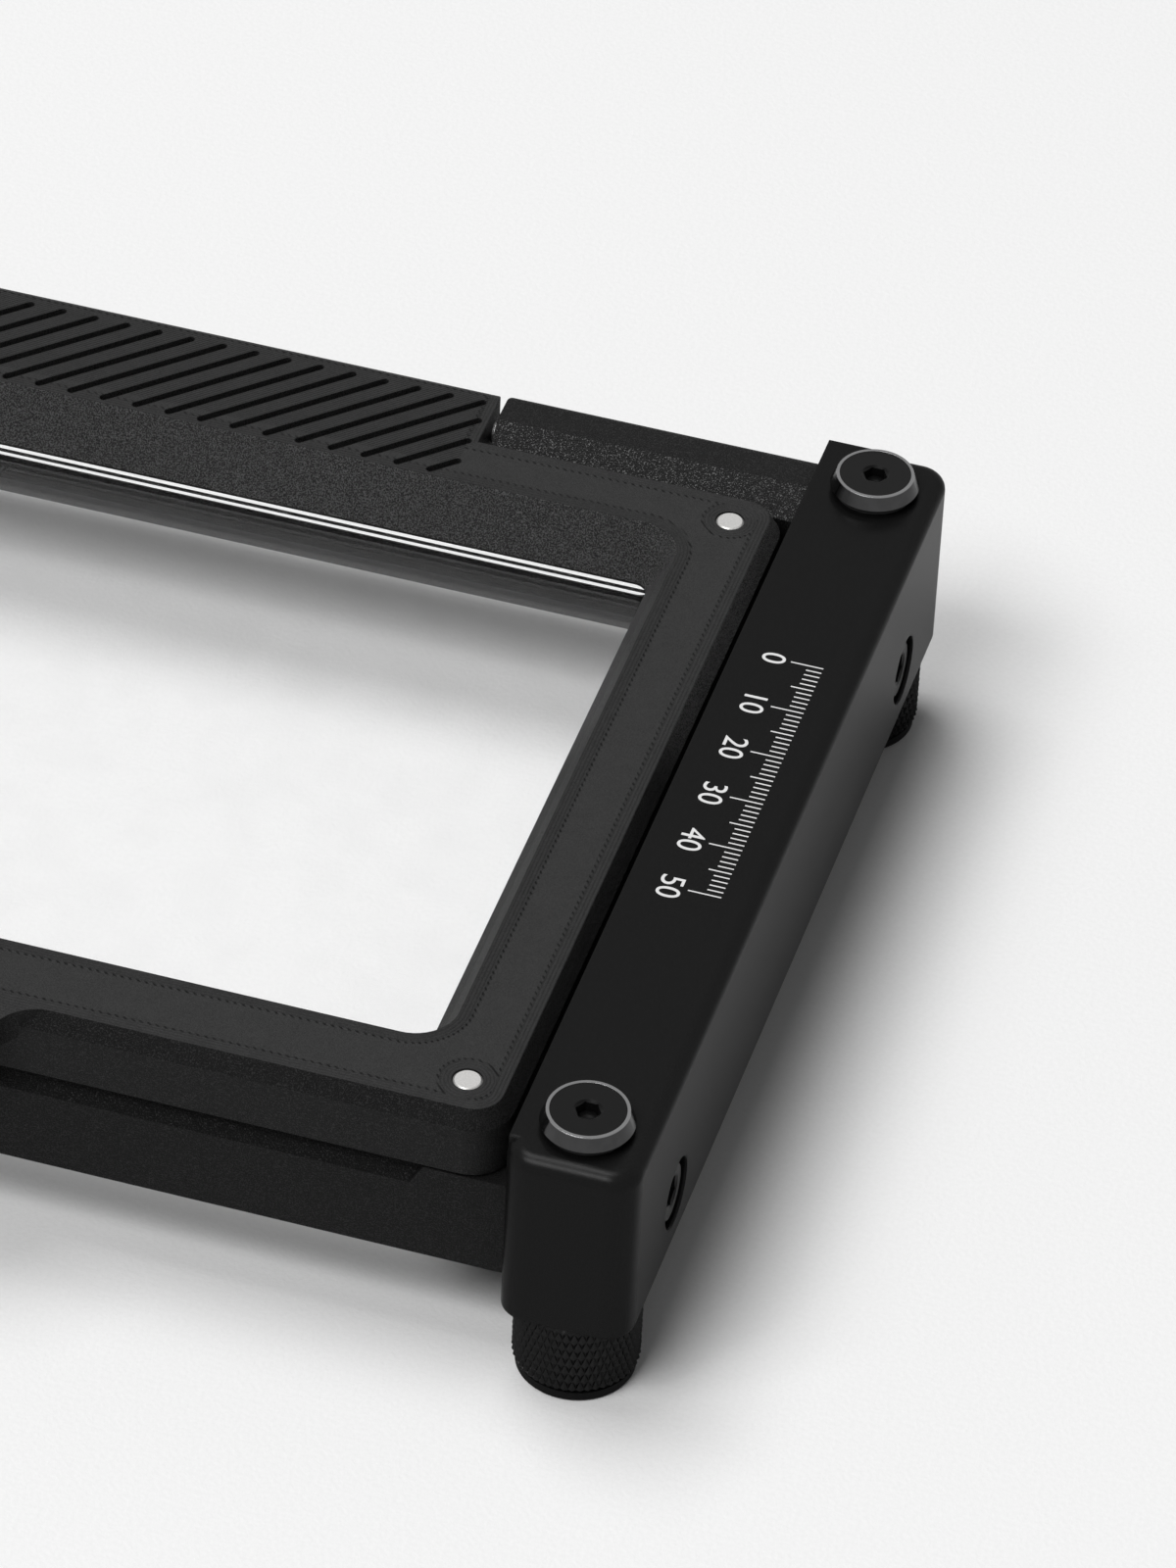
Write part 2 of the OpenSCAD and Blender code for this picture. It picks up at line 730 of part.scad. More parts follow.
base_frame();
lid_frame();
lower_pane();
upper_pane();
hinge_rod();
lid_magnets();
base_magnets();
right_end_bar();
left_end_bar();
right_side_screws();
left_side_screws();
threaded_inserts();
front_right_collar();
rear_right_collar();
front_left_collar();
rear_left_collar();
front_right_washer();
rear_right_washer();
front_left_washer();
rear_left_washer();
front_right_foot_screw();
rear_right_foot_screw();
front_left_foot_screw();
rear_left_foot_screw();
front_right_knob();
rear_right_knob();
front_left_knob();
rear_left_knob();
front_right_pad();
rear_right_pad();
front_left_pad();
rear_left_pad();
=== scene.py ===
"""Looks of a hinged glass film holder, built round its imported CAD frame.

Everything is in metres in the CAD frame: X along the hinge, Y from the finger tab to the hinge,
Z up from the table.
"""
import json
import logging
import math
from dataclasses import dataclass, field
from enum import Enum

import bmesh
import bpy
from mathutils import Matrix, Vector


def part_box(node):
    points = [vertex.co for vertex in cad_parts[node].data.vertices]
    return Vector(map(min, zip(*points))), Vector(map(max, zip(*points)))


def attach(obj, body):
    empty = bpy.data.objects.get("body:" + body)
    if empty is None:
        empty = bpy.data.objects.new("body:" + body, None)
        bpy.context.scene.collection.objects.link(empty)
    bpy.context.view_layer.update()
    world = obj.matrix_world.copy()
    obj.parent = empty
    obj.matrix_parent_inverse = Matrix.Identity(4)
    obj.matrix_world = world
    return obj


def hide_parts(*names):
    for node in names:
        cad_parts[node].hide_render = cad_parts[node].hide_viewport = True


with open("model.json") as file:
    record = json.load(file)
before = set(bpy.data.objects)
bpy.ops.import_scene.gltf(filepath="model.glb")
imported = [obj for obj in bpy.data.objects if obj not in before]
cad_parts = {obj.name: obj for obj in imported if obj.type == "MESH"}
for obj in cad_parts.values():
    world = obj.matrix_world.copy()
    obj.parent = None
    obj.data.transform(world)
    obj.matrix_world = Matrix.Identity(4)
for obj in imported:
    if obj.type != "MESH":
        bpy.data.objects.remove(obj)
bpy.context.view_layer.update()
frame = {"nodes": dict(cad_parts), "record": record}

LOG = logging.getLogger("film_holder")
MM = 0.001
MM_PER_M = 1000.0
WHITE = (1.0, 1.0, 1.0, 1.0)
BACKDROP = 0.9  # strength of the backdrop where it is seen
MIDDLE = 0.5  # the middle of a value that runs from 0 to 1
WELD_DISTANCE = 1e-7
EDGE_SAMPLES = 4


# ---------------------------------------------------------------- shader maths

class Wire:
    """A value in a node tree, on which Python's operators add Math nodes."""

    def __init__(self, net: "Net", socket: bpy.types.NodeSocket) -> None:
        """Keeps the tree and the output socket.

        Args:
            net: The tree that the socket belongs to.
            socket: The output socket that carries the value.
        """
        self.net = net
        self.socket = socket

    def __add__(self, other: "Wire | float") -> "Wire":
        """Adds."""
        return self.net.math("ADD", self, other)

    def __radd__(self, other: float) -> "Wire":
        """Adds, the number first."""
        return self.net.math("ADD", other, self)

    def __sub__(self, other: "Wire | float") -> "Wire":
        """Subtracts."""
        return self.net.math("SUBTRACT", self, other)

    def __rsub__(self, other: float) -> "Wire":
        """Subtracts from a number."""
        return self.net.math("SUBTRACT", other, self)

    def __mul__(self, other: "Wire | float") -> "Wire":
        """Multiplies."""
        return self.net.math("MULTIPLY", self, other)

    def __rmul__(self, other: float) -> "Wire":
        """Multiplies, the number first."""
        return self.net.math("MULTIPLY", other, self)

    def __truediv__(self, other: "Wire | float") -> "Wire":
        """Divides."""
        return self.net.math("DIVIDE", self, other)

    def __rtruediv__(self, other: float) -> "Wire":
        """Divides a number."""
        return self.net.math("DIVIDE", other, self)

    def __neg__(self) -> "Wire":
        """Turns the sign."""
        return self.net.math("MULTIPLY", self, -1.0)

    def __pow__(self, other: float) -> "Wire":
        """Raises to a power."""
        return self.net.math("POWER", self, other)

    def __rpow__(self, other: float) -> "Wire":
        """Raises a number to it."""
        return self.net.math("POWER", other, self)

    def __abs__(self) -> "Wire":
        """Drops the sign."""
        return self.net.math("ABSOLUTE", self)


class Net:
    """The node tree of one material or world."""

    def __init__(self, tree: bpy.types.NodeTree) -> None:
        """Empties a tree and keeps it.

        Args:
            tree: The tree to fill.
        """
        self.tree = tree
        tree.nodes.clear()

    def add(self, kind: str, settings: dict | None = None, **inputs: object) -> bpy.types.Node:
        """Adds one node.

        Args:
            kind: The node's type.
            settings: Its properties, set before its sockets.
            inputs: Values or wires by socket name, with _ for a space and i0, i1 for a number.

        Returns:
            The node.
        """
        node = self.tree.nodes.new(kind)
        for name, value in (settings or {}).items():
            setattr(node, name, value)
        for name, value in inputs.items():
            numbered = name[0] == "i" and name[1:].isdigit()
            socket = node.inputs[int(name[1:]) if numbered else name.replace("_", " ")]
            if isinstance(value, Wire):
                self.tree.links.new(value.socket, socket)
            elif isinstance(value, bpy.types.NodeSocket):
                self.tree.links.new(value, socket)
            else:
                socket.default_value = value
        return node

    def math(self, operation: str, a: Wire | float, b: Wire | float = 0.0) -> Wire:
        """Adds a Math node.

        Args:
            operation: The node's operation.
            a: First value.
            b: Second value, where the operation has one.

        Returns:
            The result.
        """
        node = self.add("ShaderNodeMath", {"operation": operation}, i0=a, i1=b)
        return Wire(self, node.outputs[0])

    def low(self, a: Wire | float, b: Wire | float) -> Wire:
        """The smaller of two values."""
        return self.math("MINIMUM", a, b)

    def high(self, a: Wire | float, b: Wire | float) -> Wire:
        """The larger of two values."""
        return self.math("MAXIMUM", a, b)

    def step(self, value: Wire, start: float, end: float) -> Wire:
        """Rises smoothly from 0 to 1.

        Args:
            value: What is tested.
            start: Where the rise starts.
            end: Where it ends; below start it falls instead.

        Returns:
            The mask.
        """
        flip = end < start
        node = self.add("ShaderNodeMapRange", {"interpolation_type": "SMOOTHSTEP"}, Value=value,
                        From_Min=min(start, end), From_Max=max(start, end))
        mask = Wire(self, node.outputs[0])
        return 1.0 - mask if flip else mask

    def mix(self, factor: Wire | float, a: tuple, b: object) -> bpy.types.NodeSocket:
        """Blends two colours, in sockets 6 and 7 of the Mix node.

        Args:
            factor: 0 for the first, 1 for the second.
            a: First colour, or a socket.
            b: Second colour, or a socket.

        Returns:
            The colour socket.
        """
        node = self.add("ShaderNodeMix", {"data_type": "RGBA"}, i0=factor, i6=a, i7=b)
        return node.outputs[2]

    def place(self) -> tuple[Wire, Wire, Wire]:
        """Reads the object's own coordinates.

        Returns:
            X, Y and Z in millimetres.
        """
        coords = self.add("ShaderNodeTexCoord").outputs["Object"]
        split = self.add("ShaderNodeSeparateXYZ", None, Vector=coords)
        return tuple(Wire(self, split.outputs[k]) * MM_PER_M for k in range(3))

    def facing(self) -> tuple[Wire, Wire, Wire]:
        """Reads the surface's own normal.

        Returns:
            Its X, Y and Z parts.
        """
        normal = self.add("ShaderNodeTexCoord").outputs["Normal"]
        split = self.add("ShaderNodeSeparateXYZ", None, Vector=normal)
        return tuple(Wire(self, split.outputs[k]) for k in range(3))

    def noise(self, per_mm: float, detail: float = 2.0) -> Wire:
        """Noise over the object's own space.

        Args:
            per_mm: How many cells a millimetre holds.
            detail: The noise's octaves.

        Returns:
            The noise, about 0.5 in the middle.
        """
        coords = self.add("ShaderNodeTexCoord").outputs["Object"]
        node = self.add("ShaderNodeTexNoise", None, Vector=coords, Scale=per_mm * MM_PER_M,
                        Detail=detail)
        return Wire(self, node.outputs[0])

    def bump(self, height: Wire, depth: float, normal: object = None) -> bpy.types.NodeSocket:
        """Turns a height into a normal.

        Args:
            height: Height from 0 to 1.
            depth: What a height of 1 stands for, in metres.
            normal: Normal to start from, if any.

        Returns:
            The normal socket.
        """
        inputs = {"Height": height, "Strength": 1.0, "Distance": depth}
        if normal is not None:
            inputs["Normal"] = normal
        return self.add("ShaderNodeBump", None, **inputs).outputs[0]

    def soft_edges(self, radius: float) -> bpy.types.NodeSocket:
        """A normal that rounds the sharp edges of a machined or printed piece."""
        return self.add("ShaderNodeBevel", {"samples": EDGE_SAMPLES}, Radius=radius).outputs[0]

    def seen(self) -> Wire:
        """Tells the rays that show a surface to the camera, in a mirror or through glass too.

        Returns:
            1 for such a ray, 0 for the light that falls on other surfaces.
        """
        path = self.add("ShaderNodeLightPath").outputs
        camera, glossy, through = (Wire(self, path[name]) for name in
                                   ("Is Camera Ray", "Is Glossy Ray", "Is Transmission Ray"))
        return self.high(self.high(camera, glossy), through)

    def surface(self, shader: bpy.types.NodeSocket) -> None:
        """Sends a shader to the output."""
        self.add("ShaderNodeOutputMaterial", None, Surface=shader)


# ---------------------------------------------------------------- finishes

class Gloss(Enum):
    """How smooth a finish is, as a shader's roughness."""

    TURNED = 0.1
    KNURLED = 0.12
    ANODISED = 0.26
    SATIN = 0.36
    OXIDE = 0.42
    PRINTED = 0.46
    MATT = 0.62
    CHALKY = 0.8


# Bands over which a mask rises: of a noise, of a normal's upward part, or of a place in
# millimetres. The upward part is 1 on a top, and a band that ends below its start falls.
GRAIN_BAND = (0.3, 0.7)
FUZZ_BAND = (0.42, 0.62)
SMEAR_BAND = (0.4, 0.7)
# This band masks the painted light on the base's tops.
BASE_TOP_BAND = (0.9, 0.99)
LID_TOP_BAND = (0.93, 0.99)
# The two slope bands and the rear band below mask the painted light and shade on the slopes.
SLOPE_START_BAND = (0.15, 0.5)
SLOPE_END_BAND = (0.99, 0.9)
WALL_BAND = (0.98, 0.7)
REAR_BAND = (0.0, 20.0)
SEAM_BAND = (0.3, 0.1)
DOT_BAND = (0.8, 0.35)
PANEL_EDGE_BAND = (-1.2, -1.5)
PANEL_FRONT_BAND = (57.0, 57.5)
THREAD_EDGE_BAND = (2.7, 2.6)
# The next band masks the painted highlight on a turned rim.
RIM_HIGHLIGHT_BAND = (-0.12, -0.06)
FINE_DETAIL = 3.0


def plain(level: float) -> tuple:
    """A grey as a colour."""
    return (level, level, level, 1.0)


@dataclass(frozen=True)
class Finish:
    """A plain finish with slight grain, and the base of the others.

    Depths of bumps are in millimetres, and the edge's radius is in metres.
    """

    name: str
    grey: float = 0.02
    gloss: Gloss = Gloss.SATIN
    metallic: float = 0.0
    tint: tuple = (1.0, 1.0, 1.0)
    grain: float = 0.08
    grain_per_mm: float = 4.0
    grain_depth: float = 0.004
    edge: float = 0.0
    specular: float = 0.5
    rim: float = 1.0
    aniso: float = 0.0

    def colour(self, scale: float) -> tuple:
        """The base colour, scaled."""
        return tuple(self.grey * part * scale for part in self.tint) + (1.0,)

    def draw(self, net: Net) -> bpy.types.NodeSocket:
        """Draws the finish.

        Args:
            net: The material's tree.

        Returns:
            The shader.
        """
        grain = net.noise(self.grain_per_mm, FINE_DETAIL)
        spread = self.gloss.value * self.grain
        rough = self.gloss.value + spread - grain * (2.0 * spread)
        start = net.soft_edges(self.edge) if self.edge else None
        normal = net.bump(grain, self.grain_depth * MM, start)
        return self.shader(net, Base_Color=self.grained(net, grain), Roughness=rough,
                           Normal=normal)

    def grained(self, net: Net, grain: Wire) -> bpy.types.NodeSocket:
        """The base colour, a little darker and lighter with the grain."""
        return net.mix(net.step(grain, *GRAIN_BAND), self.colour(1.0 - self.grain),
                       self.colour(1.0 + self.grain))

    def shader(self, net: Net, **inputs: object) -> bpy.types.NodeSocket:
        """Adds the shader with its constants.

        Args:
            net: The material's tree.
            inputs: What varies over the surface.

        Returns:
            The shader.
        """
        node = net.add("ShaderNodeBsdfPrincipled", None, Metallic=self.metallic,
                       Specular_IOR_Level=self.specular, Specular_Tint=plain(self.rim),
                       Anisotropic=self.aniso, **inputs)
        return node.outputs[0]

    def material(self) -> bpy.types.Material:
        """Makes the material.

        Returns:
            The material.
        """
        made = bpy.data.materials.new(self.name)
        made.use_nodes = True
        net = Net(made.node_tree)
        net.surface(self.draw(net))
        return made


@dataclass(frozen=True)
class PrintedBase(Finish):
    """Printed plastic with a fuzzy skin and faint layers."""

    fuzz_per_mm: float = 5.2
    fuzz_depth: float = 0.2
    layer: float = 0.2
    layer_depth: float = 0.012
    level: float = 0.92
    # The next values paint light and shade by facing: lighter tops, darker slopes, lighter rear
    # slopes and painted glints on them.
    top_painted_light: float = 0.1
    slope_painted_shade: float = 0.2
    rear_painted_light: float = 2.15
    speckle: float = 0.75
    rear_painted_glints: float = 2.9
    rough_gain: float = 0.16
    rough_fuzz: float = 0.22
    reach: float = 4.5

    def fuzz(self, net: Net) -> Wire:
        """The fuzzy skin, 0 to 1."""
        return net.step(net.noise(self.fuzz_per_mm, FINE_DETAIL), *FUZZ_BAND)

    def speckles_and_painted_light(self, net: Net, fuzz: Wire, up: Wire) -> Wire:
        """The tone of the skin, with painted light and shade: tops lighter, slopes darker and rear
        slopes lighter, where the grains stand out most as painted glints.

        Args:
            net: The material's tree.
            fuzz: The fuzzy skin.
            up: How far the surface faces up.

        Returns:
            The tone as a share of its reach.
        """
        _, y, _ = net.place()
        slope = net.step(up, *SLOPE_START_BAND) * net.step(up, *SLOPE_END_BAND)
        rear = net.step(y, *REAR_BAND)
        top = net.step(up, *BASE_TOP_BAND)
        # Painted light and shade: tops lighter, slopes darker, rear slopes lighter.
        level = self.level + top * self.top_painted_light + slope * (rear * self.rear_painted_light - self.slope_painted_shade)
        # Stronger speckle contrast on the rear slopes is painted glints.
        contrast = slope * rear * self.rear_painted_glints + self.speckle
        return (level + (fuzz - MIDDLE) * contrast) / self.reach

    def layers(self, net: Net) -> Wire:
        """The rounded edges of the printed layers, 0 to 1."""
        _, _, z = net.place()
        return abs(net.math("SINE", z * (math.pi / self.layer)))

    def draw(self, net: Net) -> bpy.types.NodeSocket:
        """Draws the finish.

        Args:
            net: The material's tree.

        Returns:
            The shader.
        """
        fuzz = self.fuzz(net)
        _, _, up = net.facing()
        wall = net.step(abs(up), *WALL_BAND)
        colour = net.mix(self.speckles_and_painted_light(net, fuzz, up), self.colour(0.0), self.colour(self.reach))
        first = net.bump(fuzz, self.fuzz_depth * MM, net.soft_edges(self.edge))
        normal = net.bump(self.layers(net) * wall, self.layer_depth * MM, first)
        rough = self.gloss.value + self.rough_gain - fuzz * self.rough_fuzz
        return self.shader(net, Base_Color=colour, Roughness=rough, Normal=normal)


@dataclass(frozen=True)
class PrintedLid(PrintedBase):
    """Printed plastic whose top shows its outline passes, diagonal fill and panel ribs.

    A shape is a rounded rectangle: its middle, half sizes and corner radius in millimetres.
    """

    window: tuple = (0.0, -1.9, 72.1, 55.85, 6.1)
    outer: tuple = (0.0, -2.8, 82.35, 66.15, 4.0)
    panel: tuple = (0.0, 63.8, 38.55, 11.9, 2.0)
    magnets: tuple = (77.0, (-63.6, 58.25))
    pass_pitch: float = 0.5
    passes: float = 1.9
    pass_blend: float = 0.06
    inside_blend: float = 0.5
    dot_share: float = 0.45
    rib_pitch: float = 0.606
    magnet_r: float = 2.0
    ring_limit: float = 99.0
    top_tone: float = 1.2
    patch_tone: float = 0.3
    skin_tone: float = 0.15
    fine_tone: float = 1.8
    rib_tone: float = 1.0
    rib_peak: float = 0.95
    outline_loss: float = 0.3
    inside_loss: float = 0.12
    line_power: float = 0.6
    fill_share: float = 0.1
    rib_share: float = 0.4
    top_relief: float = 0.3
    fine_per_mm: float = 7.0
    fine_depth: float = 0.05
    patch_per_mm: float = 0.35
    top_rough: float = 0.12
    fine_rough: float = 0.1
    skin_rough: float = 0.08

    def distance(self, net: Net, x: Wire, y: Wire, shape: tuple) -> Wire:
        """Distance to a rounded rectangle, below zero inside.

        Args:
            net: The material's tree.
            x: Place along the hinge.
            y: Place from front to rear.
            shape: Middle, half sizes and corner radius.

        Returns:
            The distance in millimetres.
        """
        mid_x, mid_y, half_x, half_y, r = shape
        dx = abs(x - mid_x) - (half_x - r)
        dy = abs(y - mid_y) - (half_y - r)
        over_x, over_y = net.high(dx, 0.0), net.high(dy, 0.0)
        corner = net.math("SQRT", over_x * over_x + over_y * over_y)
        return corner + net.low(net.high(dx, dy), 0.0) - r

    def magnet_ring(self, net: Net, x: Wire, y: Wire) -> Wire:
        """Distance to the nearest lid magnet.

        Args:
            net: The material's tree.
            x: Place along the hinge.
            y: Place from front to rear.

        Returns:
            The distance in millimetres.
        """
        side, rows = self.magnets
        ring = self.ring_limit
        for row in rows:
            dx, dy = abs(x) - side, y - row
            ring = net.low(net.math("SQRT", dx * dx + dy * dy) - self.magnet_r, ring)
        return ring

    def draw(self, net: Net) -> bpy.types.NodeSocket:
        """Draws the finish.

        Args:
            net: The material's tree.

        Returns:
            The shader.
        """
        x, y, _ = net.place()
        _, _, up = net.facing()
        top = net.step(up, *LID_TOP_BAND)
        inner = self.distance(net, x, y, self.window)
        panel = self.distance(net, x, y, self.panel)
        outer = net.low(self.distance(net, x, y, self.outer), panel)
        near = net.low(net.low(abs(inner), -outer), self.magnet_ring(net, x, y))
        outline = net.step(near, self.passes + self.pass_blend,
                           self.passes - self.pass_blend)
        wave = math.pi / self.pass_pitch
        lines = abs(net.math("SINE", near * wave))
        fill = abs(net.math("SINE", (x + y) * (wave / math.sqrt(2.0))))
        seam = net.step(abs(near - self.passes), *SEAM_BAND)
        dotted = abs(net.math("SINE", (x + y) * (wave * self.dot_share)))
        dots = seam * net.step(dotted, *DOT_BAND)
        ribs = abs(net.math("SINE", (x - y) * (math.pi / self.rib_pitch)))
        ribbed = net.step(panel, *PANEL_EDGE_BAND) * net.step(y, *PANEL_FRONT_BAND)
        skin = ((lines ** self.line_power) * outline + fill * (1.0 - outline) * self.fill_share
                + ribs * ribbed * self.rib_share)
        fuzz = self.fuzz(net)
        fine = net.noise(self.fine_per_mm)
        wall = 1.0 - top
        height = skin * top * self.top_relief + fuzz * wall
        patch = net.noise(self.patch_per_mm)
        inside = net.step(abs(inner), self.passes, self.passes - self.inside_blend)
        tone = top * (self.top_tone + self.patch_tone * (patch - MIDDLE)
                      + self.skin_tone * (skin - MIDDLE) + self.fine_tone * (fine - MIDDLE)
                      + ribbed * (ribs - self.rib_peak) * self.rib_tone
                      - self.outline_loss * outline - self.inside_loss * inside - dots)
        # The walls take the printed base's speckle, with its painted light and shade.
        tone = tone / self.reach + wall * self.speckles_and_painted_light(net, fuzz, up)
        colour = net.mix(tone, self.colour(0.0), self.colour(self.reach))
        first = net.bump(height, self.fuzz_depth * MM, net.soft_edges(self.edge))
        normal = net.bump(fine, self.fine_depth * MM, first)
        rough = self.gloss.value + self.top_rough - self.fine_rough * fine - self.skin_rough * skin
        return self.shader(net, Base_Color=colour, Roughness=rough, Normal=normal)


@dataclass(frozen=True)
class FloorPaper(Finish):
    """Pale paper whose far parts show as the even backdrop."""

    near_mm: float = 600.0
    far_mm: float = 1800.0

    def draw(self, net: Net) -> bpy.types.NodeSocket:
        """Draws the finish.

        Args:
            net: The material's tree.

        Returns:
            The shader.
        """
        paper = super().draw(net)
        x, y, _ = net.place()
        far = net.step(net.math("SQRT", x * x + y * y), self.near_mm, self.far_mm)
        glow = net.add("ShaderNodeEmission", None, Color=WHITE, Strength=BACKDROP)
        both = net.add("ShaderNodeMixShader", None, i0=far * net.seen(), i1=paper,
                       i2=glow.outputs[0])
        return both.outputs[0]


@dataclass(frozen=True)
class ClearGlass(Finish):
    """Clear coated glass that lets light reach what lies below."""

    smear_per_mm: float = 0.12
    smear_grey: float = 0.985
    ior: float = 1.5

    def draw(self, net: Net) -> bpy.types.NodeSocket:
        """Draws the finish.

        Args:
            net: The material's tree.

        Returns:
            The shader.
        """
        smear = net.step(net.noise(self.smear_per_mm, FINE_DETAIL), *SMEAR_BAND)
        colour = net.mix(smear, WHITE, plain(self.smear_grey))
        node = net.add("ShaderNodeBsdfPrincipled", None, Base_Color=colour, Roughness=0.0,
                       IOR=self.ior, Transmission_Weight=1.0, Specular_IOR_Level=self.specular,
                       Specular_Tint=plain(self.rim))
        clear = net.add("ShaderNodeBsdfTransparent", None, Color=WHITE)
        path = net.add("ShaderNodeLightPath").outputs
        light = net.high(Wire(net, path["Is Shadow Ray"]), Wire(net, path["Is Diffuse Ray"]))
        both = net.add("ShaderNodeMixShader", None, i0=light, i1=node.outputs[0],
                       i2=clear.outputs[0])
        return both.outputs[0]


@dataclass(frozen=True)
class Turned(Finish):
    """Lathe-turned metal with fine grooves round Z and, where it has one, a painted highlight on
    its upper rim.

    Its grooves, their edges and its rim are in millimetres.
    """

    groove: float = 0.09
    groove_depth: float = 0.002
    groove_edge: float = 0.08
    worn_per_mm: float = 0.8
    worn_low: float = 0.92
    worn_span: float = 0.13
    rough_base: float = 0.8
    rough_span: float = 0.4
    rim_z: float = 99.0
    painted_rim_highlight: float = 3.2

    def draw(self, net: Net) -> bpy.types.NodeSocket:
        """Draws the finish.

        Args:
            net: The material's tree.

        Returns:
            The shader.
        """
        _, _, z = net.place()
        grooves = abs(net.math("SINE", z * (math.pi / self.groove)))
        worn = net.noise(self.worn_per_mm, FINE_DETAIL)
        # Painted highlight: the band just below the rim's top is painted several times brighter.
        painted_highlight = net.step(z - self.rim_z, *RIM_HIGHLIGHT_BAND)
        shade = net.step(worn, *GRAIN_BAND) * self.worn_span + self.worn_low
        shade = shade + painted_highlight * self.painted_rim_highlight
        reach = self.worn_low + self.worn_span + self.painted_rim_highlight
        colour = net.mix(shade / reach, self.colour(0.0), self.colour(reach))
        rough = self.gloss.value * self.rough_base + worn * self.gloss.value * self.rough_span
        normal = net.bump(grooves, self.groove_depth * MM, net.soft_edges(self.groove_edge * MM))
        return self.shader(net, Base_Color=colour, Roughness=rough, Normal=normal)


@dataclass(frozen=True)
class Threaded(Finish):
    """Black oxide steel, with a thread drawn on the upright shafts below the heads."""

    pitch: float = 0.8
    thread_top: float = 41.0
    thread_blend: float = 1.0
    thread_depth: float = 0.25
    foot: tuple = (94.75, 69.15)
    rough_base: float = 0.9

    def draw(self, net: Net) -> bpy.types.NodeSocket:
        """Draws the finish.

        Args:
            net: The material's tree.

        Returns:
            The shader.
        """
        x, y, z = net.place()
        dx, dy = abs(x) - self.foot[0], abs(y) - self.foot[1]
        turn = net.math("ARCTAN2", dy, dx) * (1.0 / math.tau)
        ridge = abs(net.math("SINE", (z / self.pitch + turn) * math.pi))
        shaft = net.step(z, self.thread_top, self.thread_top - self.thread_blend)
        shaft = shaft * net.step(net.math("SQRT", dx * dx + dy * dy), *THREAD_EDGE_BAND)
        grain = net.noise(self.grain_per_mm, FINE_DETAIL)
        first = net.bump(ridge * shaft, self.thread_depth * MM, net.soft_edges(self.edge))
        normal = net.bump(grain, self.grain_depth * MM, first)
        rough = self.gloss.value * self.rough_base + grain * self.grain
        return self.shader(net, Base_Color=self.grained(net, grain), Roughness=rough, Normal=normal)


FINISHES = {
    "printed_base": PrintedBase("printed_base", grey=0.0165, gloss=Gloss.PRINTED, edge=0.25 * MM,
                                specular=0.3, metallic=0.35, rim=0.3),
    "printed_lid": PrintedLid("printed_lid", grey=0.0225, gloss=Gloss.PRINTED, edge=0.25 * MM,
                              specular=0.3, metallic=0.35, rim=0.3),
    "pane_glass": ClearGlass("pane_glass", specular=0.2, rim=0.16),
    "rod_steel": Turned("rod_steel", grey=0.8, metallic=0.5, gloss=Gloss.ANODISED),
    "magnet_nickel": Finish("magnet_nickel", grey=0.52, metallic=0.6, gloss=Gloss.SATIN,
                            tint=(1.0, 0.99, 0.97), edge=0.05 * MM),
    "bar_anodised": Finish("bar_anodised", grey=0.011, gloss=Gloss.ANODISED, grain=0.12,
                           grain_per_mm=5.0, grain_depth=0.006, edge=0.7 * MM, specular=0.14,
                           metallic=0.6, rim=0.3),
    "screw_black": Threaded("screw_black", grey=0.0045, gloss=Gloss.OXIDE, edge=0.06 * MM,
                            specular=0.15, rim=0.4),
    "insert_brass": Finish("insert_brass", grey=0.62, metallic=1.0, gloss=Gloss.TURNED,
                           tint=(1.0, 0.72, 0.3)),
    # The collar's very dark grey is a painted reflection of dark surroundings, and its upper rim
    # carries a painted highlight.
    "collar_steel": Turned("collar_steel", grey=0.055, metallic=1.0, gloss=Gloss.TURNED, aniso=0.3,
                           tint=(1.0, 1.0, 1.01), rim_z=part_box("front_right_collar")[1].z / MM),
    "washer_black": Finish("washer_black", grey=0.008, gloss=Gloss.MATT),
    "knob_anodised": Finish("knob_anodised", grey=0.016, gloss=Gloss.KNURLED, grain_per_mm=3.0,
                            edge=0.04 * MM, specular=0.25, metallic=0.7, rim=0.2),
    "pad_rubber": Finish("pad_rubber", grey=0.004, gloss=Gloss.CHALKY, grain_per_mm=3.0,
                         grain_depth=0.01, specular=0.1),
    "print_white": Finish("print_white", grey=0.72, gloss=Gloss.MATT, grain=0.05, grain_per_mm=9.0),
}
MADE: dict[str, bpy.types.Material] = {}
CORNERS = ("front_right", "rear_right", "front_left", "rear_left")


def finish(name: str) -> bpy.types.Material:
    """Makes a finish's material on first use.

    Args:
        name: The finish's name.

    Returns:
        The material.
    """
    if name not in MADE:
        MADE[name] = FINISHES[name].material()
    return MADE[name]


# ---------------------------------------------------------------- mesh helpers

def new_object(name: str, bm: bmesh.types.BMesh, finish_name: str,
               smooth: bool = False) -> bpy.types.Object:
    """Turns a bmesh into an object in the scene.

    Args:
        name: The piece's name.
        bm: The mesh, in metres at its place.
        finish_name: Its finish.
        smooth: Whether faces are shaded smooth.

    Returns:
        The object.
    """
    bmesh.ops.remove_doubles(bm, verts=bm.verts, dist=WELD_DISTANCE)
    bmesh.ops.recalc_face_normals(bm, faces=bm.faces)
    mesh = bpy.data.meshes.new(name)
    bm.to_mesh(mesh)
    bm.free()
    mesh.materials.append(finish(finish_name))
    for face in mesh.polygons:
        face.use_smooth = smooth
    made = bpy.data.objects.new(name, mesh)
    bpy.context.scene.collection.objects.link(made)
    return made


def dress_nodes() -> None:
    """Gives every CAD node the finish that the record names for it."""
    slots = {part["node"]: part["material_slot"] for part in frame["record"]["subparts"]}
    for node, made in frame["nodes"].items():
        mesh = made.data
        while len(mesh.materials) < 1:
            mesh.materials.append(None)
        for index in range(len(mesh.materials)):
            mesh.materials[index] = finish(slots[node])
        LOG.info("%s: %s", node, slots[node])


# ---------------------------------------------------------------- sub-assemblies

